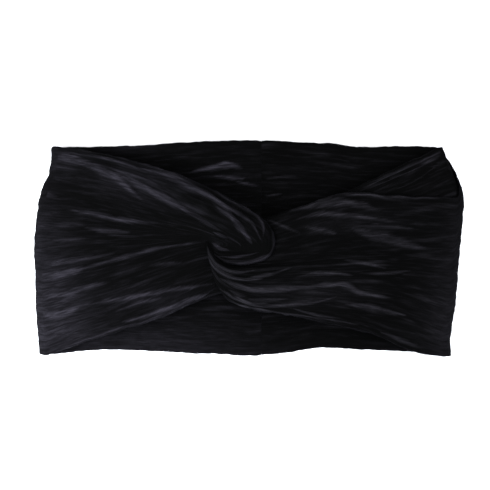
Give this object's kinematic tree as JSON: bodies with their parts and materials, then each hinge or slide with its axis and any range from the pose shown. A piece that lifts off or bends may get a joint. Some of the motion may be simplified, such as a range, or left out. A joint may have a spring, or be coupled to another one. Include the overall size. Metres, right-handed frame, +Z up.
{
  "type": "headband",
  "caption": "Wide soft headband of gathered crushed velvet, its two strips folded round each other in a front knot and seamed at the back, with a loop that opens for the head.",
  "frame": {"origin": "under the middle of the band, on the surface that it lies on", "axes": "+X along the flattened loop towards its right fold, seen with the knot up; +Y across the band towards its top edge; +Z up through the knot"},
  "size_m": [0.24, 0.12, 0.019],
  "materials": {
    "velvet_left": "crushed velvet",
    "velvet_right": "crushed velvet",
    "thread": "spun thread"
  },
  "bodies": {
    "back_centre": {"left_seam_panel_outer": "velvet_left", "left_seam_panel_inner": "velvet_left", "right_seam_panel_outer": "velvet_right", "right_seam_panel_inner": "velvet_right", "centre_seam_allowance": "velvet_right", "centre_seam_stitches": "thread"},
    "back_left": {"left_back_panel_outer": "velvet_left", "left_back_panel_inner": "velvet_left", "left_side_turn_outer_back": "velvet_left", "left_side_turn_inner_back": "velvet_left"},
    "front_left": {"left_front_panel": "velvet_left", "left_rear_panel": "velvet_left", "left_side_turn_outer_front": "velvet_left", "left_side_turn_inner_front": "velvet_left"},
    "knot": {"left_knot_wrap": "velvet_left", "left_knot_tuck": "velvet_left", "right_knot_wrap": "velvet_right", "right_knot_tuck": "velvet_right"},
    "front_right": {"right_front_panel": "velvet_right", "right_rear_panel": "velvet_right", "right_side_turn_outer_front": "velvet_right", "right_side_turn_inner_front": "velvet_right"},
    "back_right": {"right_back_panel_outer": "velvet_right", "right_back_panel_inner": "velvet_right", "right_side_turn_outer_back": "velvet_right", "right_side_turn_inner_back": "velvet_right"}
  },
  "joints": [
    {"name": "left_back_bend", "type": "hinge", "parent": "back_centre", "child": "back_left", "pos_m": [-0.025, 0, 0.0024], "axis": [0, 1, 0], "range_deg": [0, 45]},
    {"name": "left_side_fold", "type": "hinge", "parent": "back_left", "child": "front_left", "pos_m": [-0.12, 0, 0.0049], "axis": [0, 1, 0], "range_deg": [-90, 0]},
    {"name": "knot_left_bend", "type": "hinge", "parent": "front_left", "child": "knot", "pos_m": [-0.025, 0, 0.0074], "axis": [0, 1, 0], "range_deg": [0, 45]},
    {"name": "knot_right_bend", "type": "hinge", "parent": "knot", "child": "front_right", "pos_m": [0.025, 0, 0.0074], "axis": [0, 1, 0], "range_deg": [0, 45]},
    {"name": "right_side_fold", "type": "hinge", "parent": "front_right", "child": "back_right", "pos_m": [0.12, 0, 0.0049], "axis": [0, 1, 0], "range_deg": [-90, 0]}
  ],
  "couplings": [
    {"joint": "left_side_fold", "follows": "left_back_bend", "ratio": -2},
    {"joint": "knot_left_bend", "follows": "left_back_bend", "ratio": 1},
    {"joint": "knot_right_bend", "follows": "left_back_bend", "ratio": 1},
    {"joint": "right_side_fold", "follows": "left_back_bend", "ratio": -2}
  ]
}
